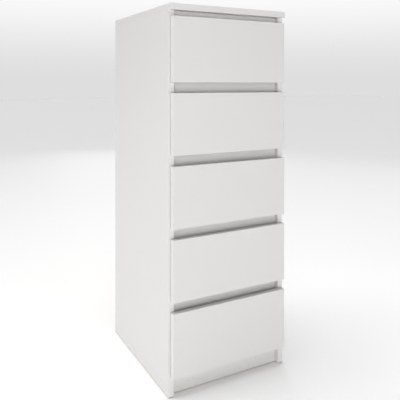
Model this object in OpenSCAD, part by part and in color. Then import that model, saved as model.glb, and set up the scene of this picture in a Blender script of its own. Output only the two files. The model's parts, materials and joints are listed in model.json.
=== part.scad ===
// Tall narrow chest of handle-less drawers, built as a flat pack: a carcass of coated boards held by
// cam locks and dowels, a nailed hardboard back, and drawers on roller runners.
// Millimetres. +Z is up and the drawers open towards -Y. The origin is on the floor, under the middle
// of the whole chest. Drawer 1 is the top one. Pieces are drawn for the left side and mirrored.

/* [Overall] */
// Width over the side panels
width = 400; // [330:1:600]
// Height from the floor to the top face
height = 1118; // [900:1:1400]
// Depth from the side panels' front edge to the rear face of the back panel
depth = 455; // [360:1:600]
// Number of drawers
drawers = 5; // [3:1:5]

/* [Boards] */
// Thickness of the side, top, bottom, plinth and rail boards
board = 18; // [16:1:22]
// Thickness of the drawer fronts
front_board = 16; // [14:1:22]
// Thickness of the drawer sides and the drawer back
box_board = 12; // [10:1:16]
// Thickness of the hardboard back panel
back_board = 3; // [2.5:0.5:6]
// Thickness of the hardboard drawer bottoms
floor_board = 3; // [2.5:0.5:5]

/* [Fronts] */
// Gap between two fronts, where the fingers pull
finger_gap = 30; // [18:1:40]
// Gap between the top panel and the first front
top_gap = 18; // [12:1:30]
// How much taller the first front is than those in the middle
first_extra = 11; // [0:1:15]
// How much taller the last front is than those in the middle
last_extra = 8; // [0:1:30]
// How far each end of a front stays inside the side panel's outer face
front_inset = 6; // [2:0.5:10]
// Air between the back of a front and the side panel's front edge
front_air = 2.5; // [1:0.5:5]
// How far the top panel reaches forward past the side panels
top_overhang = 14; // [0:1:18]

/* [Base and rails] */
// Height of the plinth's top edge above the floor
plinth_h = 58; // [40:1:100]
// Height of a rail that stands on edge
rail_h = 60; // [40:1:70]
// How far the rails and the plinth stand back from the side panels' front edge
rail_recess = 15; // [5:1:40]
// Thickness of a floor glide under a side panel
glide_h = 2; // [1:0.5:6]
// Diameter of a floor glide
glide_d = 15; // [10:0.5:16]
// Distance of a floor glide from the side panel's front or rear edge
glide_in = 50; // [36:1:80]

/* [Drawer boxes] */
// Air between a rail and the bottom edge of the drawer side above it
box_lift = 6; // [6:0.5:12]
// Air between the top rail and the first drawer's box
box_air = 5; // [3:0.5:15]
// Height of the drawer bottom's underside above the drawer side's bottom edge
floor_up = 10; // [6:0.5:20]
// Depth of the groove that holds a drawer bottom
groove = 6; // [4:0.5:8]

/* [Runners] */
// Room for one runner between the carcass side and the drawer side
runner_room = 12.5; // [12.5:0.5:14]
// Thickness of the runners' sheet steel
sheet = 1.2; // [1:0.1:1.5]
// Height of the carcass runner's channel
channel_h = 33; // [30:1:40]
// Radius of a roller
roller_r = 9; // [8:0.5:9]
// Radius of a roller's pin
pin_r = 2.5; // [2:0.1:3]
// Share of the runner's length that a drawer travels
travel_share = 0.75; // [0.5:0.05:0.8]

/* [Fasteners] */
// Diameter of a cam lock
cam_d = 15; // [12:0.5:15]
// Height of a cam lock
cam_h = 12.5; // [11:0.5:13]
// Distance from a board's end to the middle of its cam lock
cam_in = 34; // [24:1:40]
// Diameter of a cam bolt's shank
bolt_d = 5; // [4:0.5:6]
// Diameter of a cam bolt's head, which the cam lock holds
bolt_head_d = 7; // [6.5:0.5:7.5]
// Depth of a cam bolt or dowel in the board that it is fixed in
fixed_in = 11; // [8:0.5:12]
// Diameter of a wood dowel
dowel_d = 8; // [6:0.5:8]
// Length of a wood dowel
dowel_len = 30; // [25:1:35]
// Distance of a rail's cam bolt above, and its dowel below, the rail's middle line
rail_fix = 14; // [12:1:18]
// Distance of a wide board's cam locks from its front and rear edges
wide_fix = 60; // [40:1:80]
// Distance between a wide board's cam lock and the dowel beside it
fix_pitch = 32; // [24:1:48]
// Length of a back nail
nail_len = 20; // [15:1:30]
// Diameter of a back nail
nail_d = 1.6; // [1.2:0.1:2.4]
// Largest distance between back nails
nail_pitch = 160; // [80:10:250]

/* [Clearances] */
// Play around a pin, dowel or bolt in its bore, on the radius
bore_play = 0.06; // [0.03:0.01:0.1]
// Play of a hardboard panel in its groove
groove_play = 0.3; // [0.2:0.05:0.5]
// Air between a rolling or sliding piece and what it runs past
run_air = 0.3; // [0.3:0.05:0.6]
// How far the back panel stays inside the carcass's outline
back_inset = 2; // [1:0.5:4]

/* [Hidden] */
$fn = 64;
lip = 0.6;                                             // small chamfers and nail head thickness
slot_w = 1.6;                                          // screwdriver slots in the cam locks
bolt_head_h = 3;
flange_short = 6;                                      // upper flange of the carcass runner
lip_up = 1.6;                                          // upturned edge of the carcass runner's track
runner_step = 50;                                      // runners come in steps of this length
runner_end_air = 10;                                   // least room behind a runner
runner_front = 3;                                      // runner's start behind the side's front edge
axle_in = 12;                                          // roller's middle from its runner's end
track_down = 4;                                        // carcass runner's track below the box's edge
flange_air = 2.5;                                      // spare height between the track and the flange
shoulder_r = 3.5;                                      // shoulders and rivet heads of the roller pins
rivet_h = 0.5;                                         // thickness of a rivet head
roller_w = 6;                                          // width of a roller
x_front_roller = sheet + run_air;                      // rollers' faces from the carcass side
x_rear_roller = sheet + 3 * run_air + rivet_h;

bolt_way_r = bolt_head_d / 2 + 3 * bore_play;          // bore that a cam bolt's head passes along
total_d = depth + front_air + front_board;
y_front = -total_d / 2;                                // faces of the drawer fronts
y_fback = y_front + front_board;                       // backs of the drawer fronts
y_side = y_fback + front_air;                          // front edges of the side panels
y_back = total_d / 2;                                  // rear face of the back panel
y_edge = y_back - back_board;                          // rear edges of the boards
y_rail = y_side + rail_recess;                         // front faces of the rails and the plinth
x_in = width / 2 - board;                              // half the width inside the carcass
z_top = height - board;                                // underside of the top panel
z_floor = plinth_h + board;                            // upper face of the bottom panel

fronts_h = z_top - top_gap - plinth_h - (drawers - 1) * finger_gap - first_extra - last_extra;
front_h = fronts_h / drawers;
pitch = front_h + finger_gap;
function plain_z(i) = plinth_h + last_extra + (drawers - i) * pitch;     // bottom of a front with no extra
function front_z0(i) = i == drawers ? plinth_h : plain_z(i);
function front_z1(i) = plain_z(i) + front_h + (i == 1 ? first_extra : 0);
function rail_mid(i) = front_z0(i) - finger_gap / 2;   // middle line of the rail under drawer i
rail_mids = concat([z_top - rail_h / 2], [for (i = [1 : drawers - 1]) rail_mid(i)]);
plinth_mid = (glide_h + plinth_h) / 2;

// Drawer boxes are all alike, and sit one pitch apart.
function box_z(i) = plain_z(i) + (rail_h - finger_gap) / 2 + box_lift;
box_h = z_top - rail_h - box_air - box_z(1);
box_x = x_in - runner_room;                            // half the width over the drawer sides
runner_len = runner_step * floor((depth - back_board - runner_end_air) / runner_step);
y_box = y_fback + runner_len;                          // rear ends of the drawer sides
travel = travel_share * runner_len;

y_axle_front = y_side + runner_front + axle_in;        // carcass roller
y_axle_rear = y_box - axle_in;                         // drawer roller, drawer shut
// Heights above the drawer side's bottom edge. The drawer's flange rides on the carcass roller, and the
// drawer's roller runs on the carcass runner's track.
flange_up = 2 * roller_r + flange_air - track_down;
z_axle_front = flange_up - run_air - roller_r;
z_axle_rear = run_air + roller_r - track_down;

DRAWER_PIECES = ["front", "left_side", "right_side", "back", "bottom", "runners", "rollers"];

// A box between two corners.
module block(low, high) {
    translate(low) cube(high - low);
}

module both_sides() {
    children();
    mirror([1, 0, 0]) children();
}

// ---- Fasteners. Each is drawn at the joint's middle: +X runs into the board that holds the cam lock,
// ---- -X into the board that holds the bolt, and +Z points out of the cam lock's pocket.

module cam_lock() {
    difference() {
        translate([cam_in, 0, board / 2 - lip - cam_h]) cylinder(d = cam_d, h = cam_h);
        translate([cam_in, 0, 0]) rotate([0, -90, 0]) cylinder(r = bolt_way_r, h = cam_d);
        for (turn = [0, 90])
            translate([cam_in, 0, board / 2 - lip]) rotate([0, 0, turn])
                cube([cam_d - 6, slot_w, bolt_head_h], center = true);
    }
    rotate([0, 90, 0]) {
        translate([0, 0, -fixed_in]) cylinder(d = bolt_d, h = fixed_in + cam_in);
        translate([0, 0, cam_in - bolt_head_h]) cylinder(d = bolt_head_d, h = bolt_head_h);
    }
}

module cam_cut() {
    translate([cam_in, 0, board / 2 - lip - cam_h]) cylinder(r = cam_d / 2 + bore_play, h = cam_h + 2 * lip);
    translate([-fixed_in, 0, 0]) rotate([0, 90, 0]) cylinder(r = bolt_d / 2 + bore_play, h = fixed_in + lip);
    rotate([0, 90, 0]) cylinder(r = bolt_way_r, h = cam_in);
}

module dowel() {
    translate([-fixed_in, 0, 0]) rotate([0, 90, 0]) {
        cylinder(d = dowel_d, h = dowel_len - lip);
        translate([0, 0, dowel_len - lip]) cylinder(d1 = dowel_d, d2 = dowel_d - 2 * lip, h = lip);
    }
}

module dowel_cut() {
    translate([-fixed_in, 0, 0]) rotate([0, 90, 0])
        cylinder(r = dowel_d / 2 + bore_play, h = dowel_len + lip);
}

module nail() {
    rotate([90, 0, 0]) {
        cylinder(d = nail_d, h = nail_len);
        cylinder(d1 = 3 * nail_d, d2 = nail_d, h = 2 * lip);
    }
}

module nail_cut() {
    rotate([90, 0, 0]) {
        translate([0, 0, -lip]) cylinder(r = nail_d / 2 + bore_play, h = nail_len + lip);
        cylinder(r1 = 1.5 * nail_d + bore_play, r2 = nail_d / 2 + bore_play, h = 2 * lip);
    }
}

// ---- Places of the left-hand fasteners

module rail_cam_at(z_mid) {
    translate([-x_in, y_rail + board / 2, z_mid + rail_fix]) rotate([-90, 0, 0]) children();
}

module rail_dowel_at(z_mid) {
    translate([-x_in, y_rail + board / 2, z_mid - rail_fix]) rotate([-90, 0, 0]) children();
}

module bottom_cams_at() {
    for (y = [y_rail + wide_fix, y_edge - wide_fix])
        translate([-x_in, y, plinth_h + board / 2]) rotate([180, 0, 0]) children();
}

module bottom_dowels_at() {
    for (y = [y_rail + wide_fix + fix_pitch, y_edge - wide_fix - fix_pitch])
        translate([-x_in, y, plinth_h + board / 2]) rotate([180, 0, 0]) children();
}

module top_cams_at() {
    for (y = [y_rail + wide_fix, y_edge - wide_fix])
        translate([-x_in - board / 2, y, z_top]) rotate([0, 90, 0]) children();
}

module top_dowels_at() {
    for (y = [y_rail + wide_fix + fix_pitch, y_edge - wide_fix - fix_pitch])
        translate([-x_in - board / 2, y, z_top]) rotate([0, 90, 0]) children();
}

module side_nails_at() {
    low = plinth_h + board / 2;
    high = z_top + board / 2;
    count = ceil((high - low) / nail_pitch);
    for (k = [0 : count])
        translate([-x_in - board / 2, y_back, low + k * (high - low) / count]) children();
}

module across_nails_at() {
    for (x = [-x_in / 3, x_in / 3], z = [plinth_h + board / 2, z_top + board / 2])
        translate([x, y_back, z]) children();
}

// ---- Carcass

module side_panel() {
    color([0.93, 0.93, 0.91])
        difference() {
            block([-x_in - board, y_side, glide_h], [-x_in, y_edge, z_top]);
            for (z = concat(rail_mids, [plinth_mid])) {
                rail_cam_at(z) cam_cut();
                rail_dowel_at(z) dowel_cut();
            }
            bottom_cams_at() cam_cut();
            bottom_dowels_at() dowel_cut();
            top_cams_at() cam_cut();
            top_dowels_at() dowel_cut();
            side_nails_at() nail_cut();
            glides_at() glide_cut();
        }
}

module left_side_panel() {
    side_panel();
}

module right_side_panel() {
    mirror([1, 0, 0]) side_panel();
}

module top_panel() {
    color([0.95, 0.95, 0.93])
        difference() {
            block([-width / 2, y_side - top_overhang, z_top], [width / 2, y_edge, height]);
            both_sides() {
                top_cams_at() cam_cut();
                top_dowels_at() dowel_cut();
                side_nails_at() nail_cut();
            }
            across_nails_at() nail_cut();
        }
}

module bottom_panel() {
    color([0.9, 0.9, 0.88])
        difference() {
            block([-x_in, y_rail, plinth_h], [x_in, y_edge, z_floor]);
            both_sides() {
                bottom_cams_at() cam_cut();
                bottom_dowels_at() dowel_cut();
            }
            across_nails_at() nail_cut();
        }
}

module back_panel() {
    color([0.85, 0.85, 0.83])
        difference() {
            block([back_inset - width / 2, y_edge, plinth_h + back_inset],
                  [width / 2 - back_inset, y_back, height - back_inset]);
            both_sides() side_nails_at() nail_cut();
            across_nails_at() nail_cut();
        }
}

// A board on edge between the side panels, with its cam locks let into the rear face.
module edge_board(z0, z1) {
    mid = (z0 + z1) / 2;
    color([0.9, 0.9, 0.88])
        difference() {
            block([-x_in, y_rail, z0], [x_in, y_rail + board, z1]);
            both_sides() {
                rail_cam_at(mid) cam_cut();
                rail_dowel_at(mid) dowel_cut();
            }
        }
}

module plinth() {
    edge_board(glide_h, plinth_h);
}

module top_rail() {
    edge_board(z_top - rail_h, z_top);
}

module cross_rail(i) {
    edge_board(rail_mid(i) - rail_h / 2, rail_mid(i) + rail_h / 2);
}

module glides_at() {
    for (y = [y_side + glide_in, y_edge - glide_in])
        translate([-x_in - board / 2, y, 0]) children();
}

module glide_cut() {
    cylinder(r = nail_d / 2 + bore_play, h = glide_h + nail_len);
}

module floor_glides() {
    color([0.8, 0.8, 0.78])
        both_sides() glides_at() {
            cylinder(d1 = glide_d - 2 * lip, d2 = glide_d, h = lip);
            translate([0, 0, lip]) cylinder(d = glide_d, h = glide_h - lip);
            cylinder(d = nail_d, h = glide_h + nail_len);
        }
}

module back_nails() {
    color([0.6, 0.6, 0.6]) {
        both_sides() side_nails_at() nail();
        across_nails_at() nail();
    }
}

module cam_locks() {
    color([0.7, 0.7, 0.72])
        both_sides() {
            for (z = concat(rail_mids, [plinth_mid])) rail_cam_at(z) cam_lock();
            bottom_cams_at() cam_lock();
            top_cams_at() cam_lock();
        }
}

module wood_dowels() {
    color([0.8, 0.65, 0.45])
        both_sides() {
            for (z = concat(rail_mids, [plinth_mid])) rail_dowel_at(z) dowel();
            bottom_dowels_at() dowel();
            top_dowels_at() dowel();
        }
}

// ---- Runners. Each section is drawn in X and Z, with X from the carcass side's inner face and Z from
// ---- the drawer side's bottom edge, then drawn out along Y.

module along_y(y0, y1, i) {
    translate([-x_in, y1, box_z(i)]) rotate([90, 0, 0]) linear_extrude(height = y1 - y0) children();
}

module on_axle(x, y, z, i) {
    translate([x - x_in, y, box_z(i) + z]) rotate([0, 90, 0]) children();
}

// Channel that is screwed to the carcass side: web, track with an upturned lip, and a short upper flange.
module channel_section() {
    reach = runner_room - sheet - 2 * run_air - lip;
    low = -track_down - sheet;
    polygon([
        [0, low], [reach, low], [reach, lip_up - track_down], [reach - sheet, lip_up - track_down],
        [reach - sheet, -track_down], [sheet, -track_down], [sheet, low + channel_h - sheet],
        [flange_short, low + channel_h - sheet], [flange_short, low + channel_h], [0, low + channel_h]]);
}

// Angle under the drawer side, with a flange that rides on the carcass roller.
module drawer_section() {
    leg = runner_room - sheet;
    polygon([
        [leg, -sheet], [runner_room + box_board - lip, -sheet], [runner_room + box_board - lip, 0],
        [runner_room, 0], [runner_room, flange_up + sheet], [2 * sheet, flange_up + sheet],
        [2 * sheet, flange_up], [leg, flange_up]]);
}

module cabinet_runner(i) {
    y0 = y_side + runner_front;
    stop_y = y_axle_rear - travel - roller_r - 2 * run_air;
    along_y(y0, y0 + runner_len, i) channel_section();
    // stop that the drawer's roller meets at full travel
    translate([-x_in, 0, box_z(i)])
        block([sheet, stop_y - 3 * sheet, -track_down], [flange_short, stop_y, lip_up - track_down + sheet]);
    // pin of the front roller, with its rivet head
    on_axle(sheet, y_axle_front, z_axle_front, i) {
        cylinder(r = pin_r, h = roller_w + 2 * run_air);
        translate([0, 0, roller_w + 2 * run_air]) cylinder(r = shoulder_r, h = rivet_h);
    }
}

module drawer_runner(i) {
    along_y(y_fback + runner_front, y_box, i) drawer_section();
    // pin of the rear roller: shoulder at the angle, rivet head towards the carcass side
    on_axle(x_rear_roller - run_air, y_axle_rear, z_axle_rear, i) {
        translate([0, 0, -rivet_h]) cylinder(r = shoulder_r, h = rivet_h);
        cylinder(r = pin_r, h = roller_w + 2 * run_air);
        translate([0, 0, roller_w + 2 * run_air])
            cylinder(r = shoulder_r, h = runner_room - sheet - x_rear_roller - roller_w - run_air);
    }
}

module roller() {
    bore = pin_r + bore_play;
    rotate_extrude()
        polygon([
            [bore, 0], [roller_r - lip, 0], [roller_r, lip], [roller_r, roller_w - lip],
            [roller_r - lip, roller_w], [bore, roller_w]]);
}

module cabinet_runners(i) {
    color([0.9, 0.9, 0.9]) both_sides() cabinet_runner(i);
}

module cabinet_rollers(i) {
    color([0.95, 0.95, 0.92])
        both_sides() on_axle(x_front_roller, y_axle_front, z_axle_front, i) roller();
}

// ---- Drawers

module drawer_front(i) {
    z = box_z(i) + floor_up;
    color([0.95, 0.95, 0.93])
        difference() {
            block([front_inset - width / 2, y_front, front_z0(i)],
                  [width / 2 - front_inset, y_fback, front_z1(i)]);
            block([box_board - box_x - groove, y_fback - groove, z],
                  [box_x - box_board + groove, y_fback + 1, z + floor_board + groove_play]);
        }
}

module drawer_side(i) {
    z = box_z(i) + floor_up;
    color([0.92, 0.92, 0.9])
        difference() {
            block([-box_x, y_fback, box_z(i)], [box_board - box_x, y_box, box_z(i) + box_h]);
            block([box_board - box_x - groove, y_fback - 1, z],
                  [box_board - box_x + 1, y_box + 1, z + floor_board + groove_play]);
        }
}

module drawer_back(i) {
    z = box_z(i) + floor_up + floor_board;
    color([0.92, 0.92, 0.9])
        block([box_board - box_x, y_box - box_board, z], [box_x - box_board, y_box, box_z(i) + box_h]);
}

module drawer_bottom(i) {
    z = box_z(i) + floor_up;
    reach = box_x - box_board + groove - groove_play;
    color([0.88, 0.88, 0.86])
        block([-reach, y_fback - groove + groove_play, z], [reach, y_box, z + floor_board]);
}

module drawer_runners(i) {
    color([0.9, 0.9, 0.9]) both_sides() drawer_runner(i);
}

module drawer_rollers(i) {
    color([0.95, 0.95, 0.92])
        both_sides() on_axle(x_rear_roller, y_axle_rear, z_axle_rear, i) roller();
}

// ---- The whole chest

left_side_panel();
right_side_panel();
top_panel();
bottom_panel();
back_panel();
plinth();
top_rail();
for (i = [1 : drawers - 1])
    cross_rail(i);
floor_glides();
back_nails();
cam_locks();
wood_dowels();
for (i = [1 : drawers]) {
    cabinet_runners(i);
    cabinet_rollers(i);
    drawer_front(i);
    drawer_side(i);
    mirror([1, 0, 0]) drawer_side(i);
    drawer_back(i);
    drawer_bottom(i);
    drawer_runners(i);
    drawer_rollers(i);
}
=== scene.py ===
import math

import bmesh
import bpy
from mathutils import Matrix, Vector
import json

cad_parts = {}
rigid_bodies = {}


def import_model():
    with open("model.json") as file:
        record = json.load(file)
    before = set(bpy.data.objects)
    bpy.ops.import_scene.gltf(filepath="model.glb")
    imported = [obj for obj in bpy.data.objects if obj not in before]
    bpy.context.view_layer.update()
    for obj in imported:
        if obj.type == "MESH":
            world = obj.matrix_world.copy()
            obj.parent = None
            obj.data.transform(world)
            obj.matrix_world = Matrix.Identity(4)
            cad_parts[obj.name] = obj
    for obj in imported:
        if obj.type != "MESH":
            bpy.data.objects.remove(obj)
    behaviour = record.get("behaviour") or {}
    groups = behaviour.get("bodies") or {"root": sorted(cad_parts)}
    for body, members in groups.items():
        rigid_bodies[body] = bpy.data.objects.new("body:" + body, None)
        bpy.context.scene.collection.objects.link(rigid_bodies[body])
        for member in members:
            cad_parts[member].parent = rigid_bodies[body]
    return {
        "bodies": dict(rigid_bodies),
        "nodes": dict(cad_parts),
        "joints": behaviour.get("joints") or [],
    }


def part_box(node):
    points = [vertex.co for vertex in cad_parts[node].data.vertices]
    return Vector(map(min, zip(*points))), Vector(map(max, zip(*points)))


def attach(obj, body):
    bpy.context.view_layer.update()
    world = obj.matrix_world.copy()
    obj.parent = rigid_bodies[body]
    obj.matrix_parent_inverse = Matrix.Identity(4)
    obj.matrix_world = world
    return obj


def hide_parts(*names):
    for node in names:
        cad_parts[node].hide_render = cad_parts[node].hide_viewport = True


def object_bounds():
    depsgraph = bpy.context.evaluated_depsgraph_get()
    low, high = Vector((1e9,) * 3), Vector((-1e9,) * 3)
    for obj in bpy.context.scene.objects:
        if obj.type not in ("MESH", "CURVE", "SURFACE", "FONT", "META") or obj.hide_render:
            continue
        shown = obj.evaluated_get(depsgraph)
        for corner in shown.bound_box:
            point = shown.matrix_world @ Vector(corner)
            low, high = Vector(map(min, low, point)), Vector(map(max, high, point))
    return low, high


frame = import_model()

# ---- Camera. It stands ahead of the left side panel at chest height and looks level, so that upright
# edges stay upright. The lens is shifted on its mount to bring the floor into the frame.
cad_low, cad_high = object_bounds()

eye_left_of_chest = 0.6132
eye_ahead_of_chest = 1.2999
eye_height = 0.8873
turn_to_right = math.radians(28.46)

camera_data = bpy.data.cameras.new("camera")
camera_data.sensor_width = 36.0
camera_data.lens = 46.23
camera_data.shift_y = -0.288
camera_data.clip_end = 60.0
camera = bpy.data.objects.new("camera", camera_data)
camera.location = (cad_low.x - eye_left_of_chest, cad_low.y - eye_ahead_of_chest, eye_height)
camera.rotation_euler = (math.radians(90), 0, -turn_to_right)
bpy.context.scene.collection.objects.link(camera)
bpy.context.scene.camera = camera


# ---- Studio. A wide floor of white opal sheet, lit faintly from below and by a sky panel high over it.
# The main soft boxes stand ahead and at the left, and weaker ones at the right, behind and overhead.
class Wire:
    """A socket in a node tree. Arithmetic adds Math nodes, and node() adds a node of any other type."""

    def __init__(self, tree, socket=None):
        self.tree = tree
        self.socket = socket

    def feed(self, socket, value):
        """Links a Wire to a socket, or sets the socket to a plain value."""
        if isinstance(value, Wire):
            self.tree.links.new(value.socket, socket)
        else:
            socket.default_value = value

    def node(self, kind, settings=None, inputs=None, out=0):
        """Adds a node of any type, sets it up, fills its sockets and returns one of its outputs."""
        made = self.tree.nodes.new(kind)
        for key, value in (settings or {}).items():
            setattr(made, key, value)
        for key, value in (inputs or {}).items():
            self.feed(made.inputs[key], value)
        return Wire(self.tree, made.outputs[out])

    def sum(self, operation, first, second):
        return self.node("ShaderNodeMath", {"operation": operation}, {0: first, 1: second})

    def __add__(self, other):
        return self.sum("ADD", self, other)

    def __sub__(self, other):
        return self.sum("SUBTRACT", self, other)

    def __rsub__(self, other):
        return self.sum("SUBTRACT", other, self)

    def __mul__(self, other):
        return self.sum("MULTIPLY", self, other)

    __radd__ = __add__
    __rmul__ = __mul__


def new_finish(name):
    """A material with a Principled shader: the material, the shader and its Object coordinates."""
    finish = bpy.data.materials.new(name)
    finish.use_nodes = True
    tree = finish.node_tree
    tree.nodes.clear()
    shader = tree.nodes.new("ShaderNodeBsdfPrincipled")
    end = tree.nodes.new("ShaderNodeOutputMaterial")
    tree.links.new(shader.outputs["BSDF"], end.inputs["Surface"])
    place = tree.nodes.new("ShaderNodeTexCoord")
    return finish, shader, Wire(tree, place.outputs["Object"])


def noise(at, scale, detail=2.0):
    """Noise with this many waves to the metre."""
    return at.node("ShaderNodeTexNoise", {}, {"Vector": at, "Scale": scale, "Detail": detail})


def mixed(share, first, second):
    """A colour between two others."""
    return share.node("ShaderNodeMix", {"data_type": "RGBA"}, {0: share, 6: first, 7: second}, 2)


def between(value, low, high):
    """0 where value is under low and 1 where it is over high, with a soft step."""
    return value.node(
        "ShaderNodeMapRange", {"interpolation_type": "SMOOTHSTEP"},
        {"Value": value, "From Min": low, "From Max": high}, "Result")


def grey(level, warmth=0.0):
    """A near-white or grey, linear, a little warmer where warmth is above 0."""
    return (level * (1 + warmth), level, level * (1 - warmth), 1.0)


def relief(at, shader, height, depth):
    """Gives the shader a relief this deep, in metres, from a height of 0 to 1."""
    bump = at.node("ShaderNodeBump", {}, {"Height": height, "Distance": depth}, "Normal")
    at.feed(shader.inputs["Normal"], bump)


def opal_floor():
    finish, shader, at = new_finish("opal_floor")
    at.feed(shader.inputs["Base Color"], mixed(noise(at, 1.5), grey(0.95, 0.002), grey(0.97, 0.002)))
    at.feed(shader.inputs["Roughness"], 0.55 + 0.1 * noise(at, 12.0))
    relief(at, shader, noise(at, 400.0), 0.00003)
    shader.inputs["Emission Color"].default_value = (1.0, 1.0, 1.0, 1.0)
    shader.inputs["Emission Strength"].default_value = 0.08
    return finish


floor_reach = 30.0
floor_mesh = bpy.data.meshes.new("floor")
floor_corners = [(x * floor_reach, y * floor_reach, 0) for x, y in ((-1, -1), (1, -1), (1, 1), (-1, 1))]
floor_mesh.from_pydata(floor_corners, [], [(0, 1, 2, 3)])
floor_mesh.materials.append(opal_floor())
floor = bpy.data.objects.new("floor", floor_mesh)
bpy.context.scene.collection.objects.link(floor)

daylight = bpy.data.worlds.new("daylight")
daylight.use_nodes = True
sky = daylight.node_tree.nodes["Background"]
sky.inputs["Color"].default_value = (1.0, 1.0, 1.0, 1.0)
wire = Wire(daylight.node_tree)
seen = wire.node("ShaderNodeLightPath", {}, {}, "Is Camera Ray")
way = wire.node("ShaderNodeTexCoord", {}, {}, "Generated")
up = wire.node("ShaderNodeSeparateXYZ", {}, {"Vector": way}, "Z")
fill = 0.20                                         # what the daylight adds to the lamps
horizon = 0.53                                      # what a view sees more of it, at the floor's level
overhead = 0.25                                     # and more again above that
wire.feed(sky.inputs["Strength"], fill + seen * (horizon + overhead * between(up, 0.0, 0.2)))
bpy.context.scene.world = daylight
bpy.context.scene.view_settings.view_transform = "Standard"


soft_box_spread = math.radians(130)


def lamp(name, kind, place, turn, power, width):
    """A lamp that no view shows. Its width is a soft box's side, or the angle that a sky panel fills."""
    light = bpy.data.lights.new(name, kind)
    if kind == "AREA":
        light.shape = "SQUARE"
        light.size = width
        light.spread = soft_box_spread
    else:
        light.angle = width
    light.energy = power
    holder = bpy.data.objects.new(name, light)
    holder.location = place
    holder.rotation_euler = turn
    holder.visible_camera = False
    bpy.context.scene.collection.objects.link(holder)


def soft_box(name, place, width, power):
    aim = Vector((0, 0, cad_high.z / 2)) - Vector(place)
    lamp(name, "AREA", place, aim.to_track_quat("-Z", "Y").to_euler(), power, width)


soft_box("front_soft_box", (0.0, -3.2, 0.6), 1.6, 3.0)
soft_box("corner_soft_box", (-1.6, -3.0, 0.8), 1.6, 20.0)
soft_box("left_soft_box", (-5.0, 2.0, 1.5), 2.6, 27.0)
soft_box("right_soft_box", (5.0, 0.6, 1.5), 2.6, 10.0)
soft_box("top_soft_box", (0.0, 0.0, 3.4), 3.0, 10.0)
soft_box("rear_soft_box", (2.0, 5.0, 1.7), 2.6, 10.0)
sky_panel_turn = (math.radians(-12), math.radians(-8), 0)
lamp("sky_panel", "SUN", (0, 0, 4), sky_panel_turn, 1.73, math.radians(60))


# ---- Side panels. 18 mm chipboard with a satin white melamine face, edge bands of matching plastic
# on the edges that show, and raw chipboard at the foot, at the rear and in the drilled holes.
WIDE, BAND, SEAM, CORE = range(4)
touch = 1e-5                                        # two points this close are one
milled = 0.0005                                     # rounding that the trimmer leaves on an edge band
seam = 0.00018                                      # glue line between a face and its edge band


def melamine():
    finish, shader, at = new_finish("white_melamine")
    drift = noise(at, 2.2)
    cloud = noise(at, 26.0, 3.0)
    pearl = noise(at, 620.0, 1.0)
    fine = noise(at, 1900.0, 1.0)
    height = at.node("ShaderNodeSeparateXYZ", {}, {"Vector": at}, "Z")
    scuffed = (1 - between(height, 0.0, 0.09)) * between(noise(at, 90.0, 4.0), 0.48, 0.75)
    board = mixed(drift, grey(0.735, 0.012), grey(0.76, 0.015))
    board = mixed(between(cloud, 0.35, 0.75) * 0.5, board, grey(0.75, 0.012))
    at.feed(shader.inputs["Base Color"], mixed(scuffed * 0.35, board, grey(0.62, 0.03)))
    at.feed(shader.inputs["Roughness"], 0.34 + 0.07 * cloud + 0.08 * pearl)
    relief(at, shader, pearl + 0.35 * fine, 0.00006)
    return finish


def edge_band():
    finish, shader, at = new_finish("edge_band")
    cutter = at.node(
        "ShaderNodeTexWave", {"bands_direction": "DIAGONAL"},
        {"Vector": at, "Scale": 130.0, "Distortion": 0.6, "Detail": 1.0}, "Fac")
    nicks = between(noise(at, 210.0, 3.0), 0.66, 0.74)
    band = mixed(noise(at, 7.0), grey(0.75, 0.010), grey(0.775, 0.010))
    at.feed(shader.inputs["Base Color"], mixed(nicks * 0.4, band, grey(0.64, 0.02)))
    at.feed(shader.inputs["Roughness"], 0.27 + 0.1 * noise(at, 60.0) + 0.2 * nicks)
    relief(at, shader, cutter * 0.2 + noise(at, 500.0) - 0.8 * nicks, 0.00004)
    return finish


def glue_line():
    finish, shader, at = new_finish("glue_line")
    at.feed(shader.inputs["Base Color"], mixed(noise(at, 150.0), grey(0.50, 0.03), grey(0.66, 0.02)))
    shader.inputs["Roughness"].default_value = 0.6
    return finish


def raw_chipboard():
    finish, shader, at = new_finish("raw_chipboard")
    chips = at.node("ShaderNodeTexVoronoi", {}, {"Vector": at, "Scale": 420.0}, "Color")
    shade = at.node("ShaderNodeSeparateColor", {}, {"Color": chips}, "Red")
    wood = mixed(shade, (0.44, 0.30, 0.17, 1), (0.64, 0.49, 0.31, 1))
    glue = between(noise(at, 700.0, 4.0), 0.5, 0.72)
    at.feed(shader.inputs["Base Color"], mixed(glue * 0.7, wood, (0.26, 0.16, 0.08, 1)))
    shader.inputs["Roughness"].default_value = 0.85
    relief(at, shader, shade + noise(at, 900.0, 3.0), 0.0003)
    return finish


def merged(node):
    """A working copy of a CAD node's mesh, with its loose triangles joined into whole faces."""
    work = bmesh.new()
    work.from_mesh(frame["nodes"][node].data)
    bmesh.ops.remove_doubles(work, verts=work.verts, dist=touch)
    bmesh.ops.dissolve_limit(
        work, angle_limit=math.radians(1), verts=work.verts[:], edges=work.edges[:])
    return work


def sides_touched(points, low, high, reach=touch):
    """The sides of a box that all these points lie on, as (axis, end), such as (2, 1) for its top."""
    return {
        (axis, end) for axis in range(3) for end, corner in ((0, low), (1, high))
        if all(abs(p[axis] - corner[axis]) < reach for p in points)}


def piece_from(work, name, finishes, body, slot, *nodes):
    """Turns a working mesh into a piece that rides on a body and stands for these CAD nodes."""
    mesh = bpy.data.meshes.new(name)
    work.to_mesh(mesh)
    work.free()
    for finish in finishes:
        mesh.materials.append(finish)
    piece = bpy.data.objects.new(name, mesh)
    bpy.context.scene.collection.objects.link(piece)
    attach(piece, body)
    if nodes:
        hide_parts(*nodes)
    return piece


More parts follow.
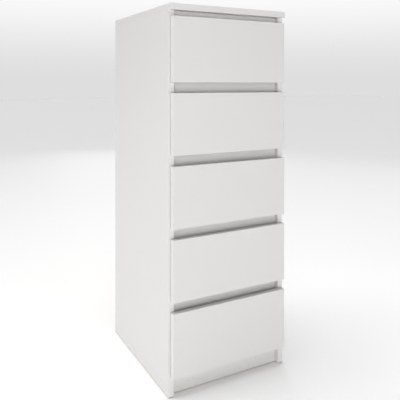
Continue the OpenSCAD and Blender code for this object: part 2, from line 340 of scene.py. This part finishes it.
def board(name, node, finishes, body, slot, raw=(), glued=True):
    """A board with milled edges: its faces, its edge bands, the seams between them, and raw core."""
    low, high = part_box(node)
    size = high - low
    thin = min(range(3), key=lambda axis: size[axis])
    work = merged(node)
    corners = [
        e for e in work.edges
        if len(sides_touched([v.co for v in e.verts], low, high)) == 2]
    bmesh.ops.bevel(
        work, geom=corners, offset=milled, offset_type="OFFSET", segments=3, profile=0.5,
        affect="EDGES", clamp_overlap=False)
    faces = {0: [], 1: []}
    for face in work.faces:
        points = [v.co for v in face.verts]
        flat = sides_touched(points, low, high)
        near = sides_touched(points, low, high, 1.2 * milled)
        if flat:
            axis, end = flat.pop()
            face.material_index = WIDE if axis == thin else CORE if (axis, end) in raw else BAND
            if axis == thin:
                faces[end].append(face)
        elif len(near) > 1:
            face.material_index = CORE if any(side in raw for side in near) else BAND
            face.smooth = True
        else:
            face.material_index = CORE
            face.smooth = len(points) == 4
    if glued:
        for end in faces:
            rim = bmesh.ops.inset_region(
                work, faces=faces[end], thickness=seam, use_boundary=True, use_even_offset=True)
            for face in rim["faces"]:
                face.material_index = SEAM
    return piece_from(work, name, finishes, body, slot, node)


white_board = [melamine(), edge_band(), glue_line(), raw_chipboard()]
foot, rear = (2, 0), (1, 1)
for side in ("left", "right"):
    board(f"{side}_side_board", f"{side}_side_panel", white_board, "carcass", "white_board", {foot, rear})


# ---- Bottom panel and plinth. The same board; the plinth stands on edge under the bottom panel's
# front and its ends are butted to the side panels, so those ends stay raw.
left_end, right_end = (0, 0), (0, 1)
board("bottom_board", "bottom_panel", white_board, "carcass", "white_board", {left_end, right_end, rear})
board("plinth_board", "plinth", white_board, "carcass", "white_board", {left_end, right_end, foot})


# ---- Rails. Five strips of the same board on edge, one under the top panel and one behind each gap
# between two fronts. Cam locks in their rear faces hold them between the side panels.
rails = ["top_rail"] + sorted(n for n in frame["nodes"] if n.startswith("cross_rail_"))
for node in rails:
    board(f"{node}_board", node, white_board, "carcass", "white_board", {left_end, right_end})


# ---- Top panel. The same board laid over the side panels, banded on its front edge and both ends.
# It reaches forward over the fronts and hides their upper gap.
board("top_board", "top_panel", white_board, "carcass", "white_board", {rear})


# ---- Cam locks, bolts and dowels. Die-cast zinc cams and plated steel bolts pull the boards together,
# and beech dowels keep them in line.
def cast_zinc():
    finish, shader, at = new_finish("cast_zinc")
    cast = noise(at, 800.0, 3.0)
    at.feed(shader.inputs["Base Color"], mixed(cast, (0.42, 0.42, 0.44, 1), (0.60, 0.60, 0.61, 1)))
    shader.inputs["Metallic"].default_value = 1.0
    at.feed(shader.inputs["Roughness"], 0.35 + 0.25 * noise(at, 250.0))
    relief(at, shader, cast, 0.00006)
    return finish


def beech():
    finish, shader, at = new_finish("beech")
    along = at.node("ShaderNodeVectorMath", {"operation": "MULTIPLY"}, {0: at, 1: (60.0, 900.0, 900.0)})
    grain = at.node("ShaderNodeTexNoise", {}, {"Vector": along, "Scale": 1.0, "Detail": 3.0})
    at.feed(shader.inputs["Base Color"], mixed(grain, (0.42, 0.27, 0.14, 1), (0.66, 0.48, 0.29, 1)))
    shader.inputs["Roughness"].default_value = 0.7
    relief(at, shader, grain, 0.00008)
    return finish


def finish_node(node, finish):
    """Gives a CAD node that is shown as it is its real finish."""
    for slot in frame["nodes"][node].material_slots:
        slot.material = finish


finish_node("cam_locks", cast_zinc())
finish_node("wood_dowels", beech())


# ---- Back panel. 3 mm hardboard, white lacquer on the inside and raw brown fibre with the mark of
# the press's mesh on the outside, nailed to the rear edges with small flat-headed nails.
def pressed_fibre():
    finish, shader, at = new_finish("pressed_fibre")
    fibres = noise(at, 380.0, 5.0)
    drift = noise(at, 3.5, 3.0)
    flecks = between(noise(at, 150.0, 6.0), 0.60, 0.72)
    mesh_x = at.node("ShaderNodeTexWave", {"bands_direction": "X"}, {"Vector": at, "Scale": 160.0}, "Fac")
    mesh_z = at.node("ShaderNodeTexWave", {"bands_direction": "Z"}, {"Vector": at, "Scale": 160.0}, "Fac")
    brown = mixed(fibres, (0.20, 0.125, 0.070, 1), (0.38, 0.26, 0.16, 1))
    brown = mixed(drift * 0.5, brown, (0.33, 0.225, 0.14, 1))
    at.feed(shader.inputs["Base Color"], mixed(flecks * 0.6, brown, (0.13, 0.08, 0.045, 1)))
    at.feed(shader.inputs["Roughness"], 0.72 + 0.15 * fibres)
    relief(at, shader, mesh_x * mesh_z + 0.5 * fibres, 0.0002)
    return finish


def lacquer():
    finish, shader, at = new_finish("white_lacquer")
    rolled = noise(at, 300.0, 2.0)
    at.feed(shader.inputs["Base Color"], mixed(noise(at, 4.0), grey(0.74, 0.004), grey(0.78, 0.006)))
    at.feed(shader.inputs["Roughness"], 0.42 + 0.1 * rolled)
    relief(at, shader, rolled, 0.00005)
    return finish


def bright_steel():
    finish, shader, at = new_finish("bright_steel")
    drawn = noise(at, 1500.0, 2.0)
    at.feed(shader.inputs["Base Color"], mixed(drawn, (0.45, 0.45, 0.46, 1), (0.60, 0.60, 0.61, 1)))
    shader.inputs["Metallic"].default_value = 1.0
    at.feed(shader.inputs["Roughness"], 0.28 + 0.2 * drawn)
    return finish


def hardboard(name, node, body, painted):
    """A sheet of hardboard, painted on one side, given as (axis, end), and raw on all the others."""
    low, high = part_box(node)
    work = merged(node)
    for face in work.faces:
        face.material_index = int(painted not in sides_touched([v.co for v in face.verts], low, high))
    return piece_from(work, name, [white_lacquer, brown_fibre], body, "hardboard", node)


white_lacquer = lacquer()
brown_fibre = pressed_fibre()
steel = bright_steel()
inner_face = (1, 0)
hardboard("back_sheet", "back_panel", "carcass", inner_face)
finish_node("back_nails", steel)


# ---- Floor glides. Small discs of moulded plastic, each on a nail driven into a side panel's foot.
def moulded(name, dark, light, rough):
    """Moulded plastic with the faint spark texture of its mould."""
    finish, shader, at = new_finish(name)
    spark = noise(at, 1400.0, 2.0)
    at.feed(shader.inputs["Base Color"], mixed(noise(at, 40.0), dark, light))
    at.feed(shader.inputs["Roughness"], rough + 0.12 * spark)
    relief(at, shader, spark, 0.00003)
    return finish


finish_node("floor_glides", moulded("glide_plastic", grey(0.60, 0.01), grey(0.68, 0.01), 0.45))


# ---- Carcass runners. Each is a channel of 1.2 mm steel with a white epoxy coat, folded from flat
# sheet, with a stop and a roller pin at its front. Three flat-headed screws fix it to a side panel.
fold = 0.0004                                       # outer radius of a fold, on the sheet's edges too
fold_area = 0.0009                                  # no strip of a fold is larger than this


def epoxy_coat():
    finish, shader, at = new_finish("epoxy_coat")
    peel = noise(at, 520.0, 2.0)
    pits = between(noise(at, 900.0, 2.0), 0.64, 0.72)
    coat = mixed(noise(at, 15.0), grey(0.73, 0.010), grey(0.78, 0.012))
    at.feed(shader.inputs["Base Color"], mixed(pits * 0.3, coat, grey(0.55, 0.02)))
    at.feed(shader.inputs["Roughness"], 0.30 + 0.15 * peel)
    relief(at, shader, peel - 0.4 * pits, 0.00008)
    return finish


def folded_steel(name, node, body):
    """A pressed runner: the CAD section with its long edges rounded as folded sheet is."""
    low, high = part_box(node)
    long = 0.9 * (high.y - low.y)
    work = merged(node)
    folds = [
        e for e in work.edges
        if e.calc_length() > long and abs(e.verts[0].co.y - e.verts[1].co.y) > long]
    bmesh.ops.bevel(
        work, geom=folds, offset=fold, offset_type="OFFSET", segments=2, profile=0.5,
        affect="EDGES", clamp_overlap=True)
    for face in work.faces:
        face.smooth = face.calc_area() < fold_area and len(face.verts) == 4
    return piece_from(work, name, [coated_steel], body, "runner_steel", node)


def screw_head(height, reach, width):
    """A screw head of radius 1 on Z = 0, in rings of points: its foot, its top, the recess's rim and floor.
    Reach and width are half the length and half the width of the recess's cross."""
    half_way = (reach + width) / 2
    arm = [(reach, 0), (reach, width), (half_way, width), (width, width), (width, half_way), (width, reach)]
    quarters = ((1, 0), (0, 1), (-1, 0), (0, -1))
    outline = [(x * c - y * s, x * s + y * c) for c, s in quarters for x, y in arm]
    turns = [math.atan2(y, x) for x, y in outline]
    top = 0.86
    deep = 0.35 * height
    rings = [
        [(math.cos(t), math.sin(t), 0) for t in turns],
        [(top * math.cos(t), top * math.sin(t), height) for t in turns],
        [(x, y, height) for x, y in outline],
        [(0.8 * x, 0.8 * y, deep) for x, y in outline]]
    work = bmesh.new()
    rings = [[work.verts.new(point) for point in ring] for ring in rings]
    for near, far in zip(rings, rings[1:]):
        for k in range(len(near)):
            after = (k + 1) % len(near)
            work.faces.new((near[k], near[after], far[after], far[k]))
    work.faces.new(rings[0][::-1])
    work.faces.new(rings[-1])
    mesh = bpy.data.meshes.new("screw_head")
    work.to_mesh(mesh)
    work.free()
    return bpy.data.objects.new("screw_head", mesh)


def screw_tree():
    """Countersunk cross-recessed screw heads on points, each turned to face along its facing."""
    tree = bpy.data.node_groups.new("screw_heads", "GeometryNodeTree")
    face = tree.interface
    face.new_socket("Points", in_out="INPUT", socket_type="NodeSocketGeometry")
    face.new_socket("Head", in_out="INPUT", socket_type="NodeSocketObject")
    face.new_socket("Head radius", in_out="INPUT", socket_type="NodeSocketFloat")
    face.new_socket("Finish", in_out="INPUT", socket_type="NodeSocketMaterial")
    face.new_socket("Screws", in_out="OUTPUT", socket_type="NodeSocketGeometry")
    entry = tree.nodes.new("NodeGroupInput")
    given = {s.name: Wire(tree, s) for s in entry.outputs if s.name}
    wire = Wire(tree)
    head = wire.node("GeometryNodeObjectInfo", {}, {"Object": given["Head"]}, "Geometry")
    facing = wire.node(
        "GeometryNodeInputNamedAttribute", {"data_type": "FLOAT_VECTOR"}, {"Name": "facing"})
    turned = wire.node("FunctionNodeAlignRotationToVector", {"axis": "Z"}, {"Vector": facing})
    screws = wire.node(
        "GeometryNodeInstanceOnPoints", {},
        {"Points": given["Points"], "Instance": head, "Rotation": turned, "Scale": given["Head radius"]})
    driven = wire.node(
        "FunctionNodeRandomValue", {"data_type": "FLOAT"},
        {2: 0.0, 3: math.pi, "Seed": 4}, 1)
    spin = wire.node("ShaderNodeCombineXYZ", {}, {"Z": driven})
    screws = wire.node("GeometryNodeRotateInstances", {}, {"Instances": screws, "Rotation": spin})
    solid = wire.node("GeometryNodeRealizeInstances", {}, {"Geometry": screws})
    solid = wire.node("GeometryNodeSetMaterial", {}, {"Geometry": solid, "Material": given["Finish"]})
    end = tree.nodes.new("NodeGroupOutput")
    tree.links.new(solid.socket, end.inputs[0])
    return tree


def grown(name, tree, places, inputs, body):
    """Runs a node tree on points, given as (place, facing), and keeps the result as one plain mesh."""
    mesh = bpy.data.meshes.new(name)
    mesh.from_pydata([place for place, _ in places], [], [])
    facing = mesh.attributes.new("facing", "FLOAT_VECTOR", "POINT")
    facing.data.foreach_set("vector", [x for _, way in places for x in way])
    piece = bpy.data.objects.new(name, mesh)
    bpy.context.scene.collection.objects.link(piece)
    modifier = piece.modifiers.new(name, "NODES")
    modifier.node_group = tree
    for item in tree.interface.items_tree:
        if item.name in inputs:
            modifier[item.identifier] = inputs[item.name]
    done = piece.evaluated_get(bpy.context.evaluated_depsgraph_get())
    made = bpy.data.meshes.new_from_object(done)
    piece.modifiers.clear()
    piece.data = made
    made.name = name
    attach(piece, body)
    return piece


coated_steel = epoxy_coat()
screws = screw_tree()
screw_radius = 0.0031
screw_height = 0.0007
recess_reach = 0.0018
recess_width = 0.00045
screw = screw_head(screw_height / screw_radius, recess_reach / screw_radius, recess_width / screw_radius)
screw_inputs = {"Head": screw, "Head radius": screw_radius, "Finish": steel}
sheet_steel = 0.0012
screw_from_front = (0.046, 0.174, 0.334)            # along a runner, on the usual 32 mm grid
screw_under_flange = 0.0062                         # below the top edge of the carcass runner
carcass_runners = sorted(n for n in frame["nodes"] if n.startswith("cabinet_runners_"))
runner_screws = []
for name in carcass_runners:
    folded_steel(f"{name}_folded", name, "carcass")
    low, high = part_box(name)
    for way in (1, -1):
        x = way * (low.x + sheet_steel)
        for y in screw_from_front:
            runner_screws.append(((x, low.y + y, high.z - screw_under_flange), (way, 0, 0)))
grown("carcass_runner_screws", screws, runner_screws, screw_inputs, "carcass")


# ---- Rollers. Moulded acetal wheels on the runners' pins, a pair on the carcass and a pair on each
# drawer. The tread is slightly crowned and each cheek is hollow between the rim and the hub.
def lathed(work, profile, centre, steps=40):
    """Turns a closed profile of (along X, radius) points about an axis along X."""
    rings = []
    for k in range(steps):
        angle = 2 * math.pi * k / steps
        rings.append([
            work.verts.new((centre.x + a, centre.y + r * math.cos(angle), centre.z + r * math.sin(angle)))
            for a, r in profile])
    count = len(profile)
    for k in range(steps):
        near, far = rings[k], rings[(k + 1) % steps]
        for j in range(count):
            face = work.faces.new((near[j], near[(j + 1) % count], far[(j + 1) % count], far[j]))
            face.smooth = True


def wheel_profile(width, rim, bore):
    """Half of it is written, and the other half mirrored: bore, hub, hollow cheek, rim and tread."""
    half = width / 2
    hub = bore + 0.0014
    cheek = rim - 0.0016
    hollow = half - 0.0009
    eased = 0.0002
    draft = 0.0003
    crown = 0.00005
    side = [
        (half - eased, bore), (half, bore + eased), (half, hub), (hollow, hub + draft),
        (hollow, cheek - draft), (half, cheek), (half, rim - 3 * eased), (half - 2 * eased, rim - eased),
        (hollow, rim - crown), (0, rim)]
    return side + [(-a, r) for a, r in reversed(side[:-1])]


acetal = moulded("acetal", grey(0.66, 0.015), grey(0.72, 0.02), 0.32)
roller_bore = 0.00256
roller_width = 0.006
rollers = [joint["child"] for joint in frame["joints"] if joint["type"] == "hinge"]
for node in rollers:
    low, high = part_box(node)
    centre = (low + high) / 2
    profile = wheel_profile(roller_width, (high.z - low.z) / 2, roller_bore)
    work = bmesh.new()
    for x in (low.x + roller_width / 2, high.x - roller_width / 2):
        lathed(work, profile, Vector((x, centre.y, centre.z)))
    bmesh.ops.recalc_face_normals(work, faces=work.faces)
    piece_from(work, f"{node}_wheels", [acetal], node, "roller_plastic", node)


# ---- Drawer boxes. 12 mm board wrapped in matt white foil for the sides and the back, with raw ends,
# and a hardboard bottom slid into grooves, white side up.
def matt_foil():
    finish, shader, at = new_finish("matt_foil")
    grain = noise(at, 700.0, 2.0)
    foil = mixed(noise(at, 5.0, 3.0), grey(0.735, 0.006), grey(0.765, 0.009))
    at.feed(shader.inputs["Base Color"], foil)
    at.feed(shader.inputs["Roughness"], 0.50 + 0.12 * grain)
    relief(at, shader, grain, 0.00005)
    return finish


foil = matt_foil()
foil_board = [foil, foil, foil, raw_chipboard()]
front_end = (1, 0)
upper_face = (2, 1)
drawers = sorted(b for b in frame["bodies"] if b.startswith("drawer_") and not b.endswith("_rollers"))
for drawer in drawers:
    for side in ("left", "right"):
        board(f"{drawer}_{side}_wall", f"{drawer}_{side}_side", foil_board, drawer, "box_foil",
              {front_end, rear, foot}, glued=False)
    board(f"{drawer}_rear_wall", f"{drawer}_back", foil_board, drawer, "box_foil",
          {left_end, right_end, foot}, glued=False)
    hardboard(f"{drawer}_floor", f"{drawer}_bottom", drawer, upper_face)


# ---- Drawer fronts. 16 mm melamine board, banded on all four edges, whose upper edge is the pull.
# Cam locks in the drawer sides hold it, each under a white cap that is pressed into the side.
for drawer in drawers:
    board(f"{drawer}_face", f"{drawer}_front", white_board, drawer, "white_board")


def cap_tree():
    """Low domed caps on points, each turned to face along its facing."""
    tree = bpy.data.node_groups.new("cam_caps", "GeometryNodeTree")
    face = tree.interface
    face.new_socket("Points", in_out="INPUT", socket_type="NodeSocketGeometry")
    for label in ("Radius", "Rise", "Rim"):
        face.new_socket(label, in_out="INPUT", socket_type="NodeSocketFloat")
    face.new_socket("Finish", in_out="INPUT", socket_type="NodeSocketMaterial")
    face.new_socket("Caps", in_out="OUTPUT", socket_type="NodeSocketGeometry")
    entry = tree.nodes.new("NodeGroupInput")
    given = {s.name: Wire(tree, s) for s in entry.outputs if s.name}
    wire = Wire(tree)
    ball = wire.node(
        "GeometryNodeMeshUVSphere", {}, {"Segments": 28, "Rings": 12, "Radius": given["Radius"]}, "Mesh")
    flat = wire.node("ShaderNodeCombineXYZ", {}, {"X": 1.0, "Y": 1.0, "Z": given["Rise"]})
    dome = wire.node("GeometryNodeTransform", {}, {"Geometry": ball, "Scale": flat})
    collar = wire.node(
        "GeometryNodeMeshCylinder", {},
        {"Vertices": 28, "Radius": given["Radius"] + given["Rim"], "Depth": given["Rim"]}, "Mesh")
    cap = wire.node("GeometryNodeJoinGeometry", {}, {0: dome})
    tree.links.new(collar.socket, cap.socket.node.inputs[0])
    cap = wire.node("GeometryNodeSetShadeSmooth", {}, {"Geometry": cap})
    facing = wire.node(
        "GeometryNodeInputNamedAttribute", {"data_type": "FLOAT_VECTOR"}, {"Name": "facing"})
    turned = wire.node("FunctionNodeAlignRotationToVector", {"axis": "Z"}, {"Vector": facing})
    caps = wire.node(
        "GeometryNodeInstanceOnPoints", {},
        {"Points": given["Points"], "Instance": cap, "Rotation": turned})
    solid = wire.node("GeometryNodeRealizeInstances", {}, {"Geometry": caps})
    solid = wire.node("GeometryNodeSetMaterial", {}, {"Geometry": solid, "Material": given["Finish"]})
    end = tree.nodes.new("NodeGroupOutput")
    tree.links.new(solid.socket, end.inputs[0])
    return tree


caps = cap_tree()
cap_plastic = moulded("cap_plastic", grey(0.72, 0.006), grey(0.77, 0.008), 0.35)
cap_sizes = {"Radius": 0.0078, "Rise": 0.07, "Rim": 0.0004, "Finish": cap_plastic}
cap_from_front = 0.024
cap_heights = (0.030, 0.092)                        # above the drawer side's bottom edge
for drawer in drawers:
    places = []
    for side, way in (("left", 1), ("right", -1)):
        low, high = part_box(f"{drawer}_{side}_side")
        x = high.x if way > 0 else low.x
        for z in cap_heights:
            places.append(((x, low.y + cap_from_front, low.z + z), (way, 0, 0)))
    grown(f"{drawer}_cam_caps", caps, places, cap_sizes, drawer)


# ---- Drawer runners. An angle of the same coated steel under each drawer side, screwed to the side
# through its upright web. Its flange rolls on the carcass's front roller.
screw_over_foot = 0.0082                            # above the angle's bottom face
for drawer in drawers:
    node = f"{drawer}_runners"
    folded_steel(f"{node}_folded", node, drawer)
    low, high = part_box(node)
    wall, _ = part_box(f"{drawer}_left_side")
    x = wall.x - sheet_steel
    places = [
        ((way * x, low.y + y, wall.z + screw_over_foot), (-way, 0, 0))
        for way in (1, -1) for y in screw_from_front]
    grown(f"{drawer}_runner_screws", screws, places, screw_inputs, drawer)
